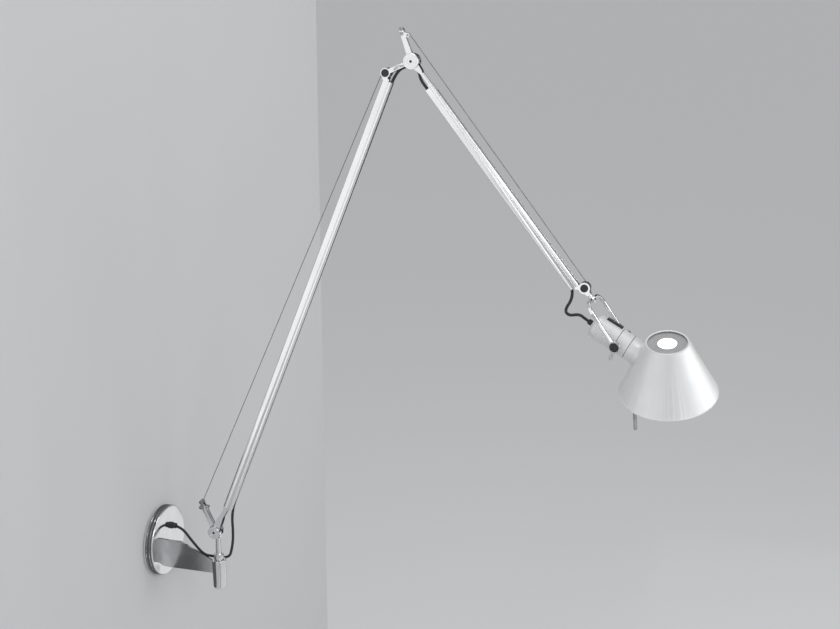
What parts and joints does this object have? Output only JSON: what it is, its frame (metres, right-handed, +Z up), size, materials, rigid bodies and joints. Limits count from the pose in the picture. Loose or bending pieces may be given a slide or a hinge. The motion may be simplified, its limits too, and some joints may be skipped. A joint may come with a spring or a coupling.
{
  "type": "articulating wall lamp",
  "caption": "Wall lamp with a round rose, a finned bracket, sprung jointed arms, a swivelling fork and a conical shade that turns on its lampholder.",
  "frame": {"origin": "middle of the rose's back face, on the wall", "axes": "+X out of the wall, +Z up, +Y towards the side of the rose where the cable leaves"},
  "size_m": [1.1373, 0.1701, 1.1616],
  "materials": {
    "polished": "mirror polished aluminium and chrome",
    "steel": "bright steel pins, wire and springs",
    "arm_aluminium": "polished extruded aluminium",
    "satin_aluminium": "satin anodised aluminium",
    "black": "satin black plastic",
    "cable": "black cable jacket",
    "bearing": "plain nylon and ceramic",
    "frosted": "frosted glass"
  },
  "bodies": {
    "wall_mount": {"rose_base": "polished", "rose_cover": "polished", "rose_grub_screws": "steel", "rose_grommet": "black", "socket": "polished", "socket_bushes": "bearing", "bracket_fin": "polished", "cable_wall": "cable"},
    "stem": {"stem": "polished", "stem_collar": "polished", "stem_cable_clip": "polished", "base_discs": "polished", "base_lever": "polished", "base_lever_pins": "steel", "base_spool": "steel", "base_bolt": "steel", "cable_base": "cable"},
    "lower_arm": {"lower_tube": "arm_aluminium", "lower_foot": "polished", "lower_link": "polished", "lower_axle": "black", "lower_wire": "steel", "lower_spring": "steel", "elbow_lever": "polished", "elbow_lever_pins": "steel", "elbow_spool": "steel", "elbow_bolt": "steel", "elbow_bush": "bearing", "cable_lower": "cable", "cable_elbow": "cable"},
    "lower_pulley": {"lower_pulley": "black"},
    "upper_arm": {"upper_tube": "arm_aluminium", "upper_foot": "polished", "upper_tip": "polished", "upper_axle": "black", "upper_spring": "steel", "swivel_nut": "polished", "cable_upper": "cable", "cable_tip": "cable"},
    "upper_wire": {"upper_wire": "steel"},
    "upper_pulley": {"upper_pulley": "black"},
    "fork": {"fork": "polished", "fork_lug": "polished", "fork_caps": "black", "cable_head": "cable"},
    "head": {"holder_rear": "satin_aluminium", "holder_front": "satin_aluminium", "pivot_screws": "steel", "holder_grommet": "black", "switch_frame": "black", "lampholder": "bearing", "bulb": "frosted"},
    "switch": {"switch_rocker": "black"},
    "shade": {"shade": "satin_aluminium", "shade_neck": "satin_aluminium", "shade_top_ring": "satin_aluminium", "top_lens": "frosted", "handle_rod": "polished"}
  },
  "joints": [
    {"name": "stem_pan", "type": "hinge", "parent": "wall_mount", "child": "stem", "pos_m": [0.1356, 0, 0], "axis": [0, 0, 1], "range_deg": [-90, 45], "deforming": ["cable_wall"]},
    {"name": "base_tilt", "type": "hinge", "parent": "stem", "child": "lower_arm", "pos_m": [0.1306, 0, 0.0339], "axis": [0, 1, 0], "range_deg": [-20, 40], "deforming": ["cable_base", "lower_wire"]},
    {"name": "elbow_tilt", "type": "hinge", "parent": "lower_arm", "child": "upper_arm", "pos_m": [0.56112, 0, 1.00565], "axis": [0, 1, 0], "range_deg": [-60, 10], "deforming": ["cable_elbow", "upper_wire"]},
    {"name": "upper_wire_follow", "type": "hinge", "parent": "upper_arm", "child": "upper_wire", "pos_m": [0.88924, 0, 0.60606], "axis": [0, 1, 0], "range_deg": [-1, 3]},
    {"name": "lower_pulley_spin", "type": "hinge", "parent": "lower_arm", "child": "lower_pulley", "pos_m": [0.51248, 0, 0.98413], "axis": [0, 1, 0], "range_deg": [-241, 121]},
    {"name": "upper_pulley_spin", "type": "hinge", "parent": "upper_arm", "child": "upper_pulley", "pos_m": [0.88924, 0, 0.60606], "axis": [0, 1, 0], "range_deg": [-44, 259]},
    {"name": "fork_swivel", "type": "hinge", "parent": "upper_arm", "child": "fork", "pos_m": [0.90188, 0, 0.58806], "axis": [0.5749, 0, -0.8183], "range_deg": [-80, 80], "deforming": ["cable_tip"]},
    {"name": "head_tilt", "type": "hinge", "parent": "fork", "child": "head", "pos_m": [0.95644, 0, 0.51041], "axis": [0.1659, 0.9792, 0.1166], "range_deg": [-60, 60], "deforming": ["cable_head"]},
    {"name": "shade_turn", "type": "hinge", "parent": "head", "child": "shade", "pos_m": [0.95644, 0, 0.51041], "axis": [0.8806, -0.0939, -0.4646], "range_deg": [-90, 90]},
    {"name": "switch_rock", "type": "hinge", "parent": "head", "child": "switch", "pos_m": [0.94506, 0.00497, 0.5395], "axis": [-0.0206, -0.9868, 0.1604], "range_deg": [0, 6]}
  ],
  "couplings": [
    {"joint": "upper_wire_follow", "follows": "elbow_tilt", "ratio": -0.045},
    {"joint": "lower_pulley_spin", "follows": "base_tilt", "ratio": -6},
    {"joint": "upper_pulley_spin", "follows": "elbow_tilt", "ratio": -4.3}
  ]
}
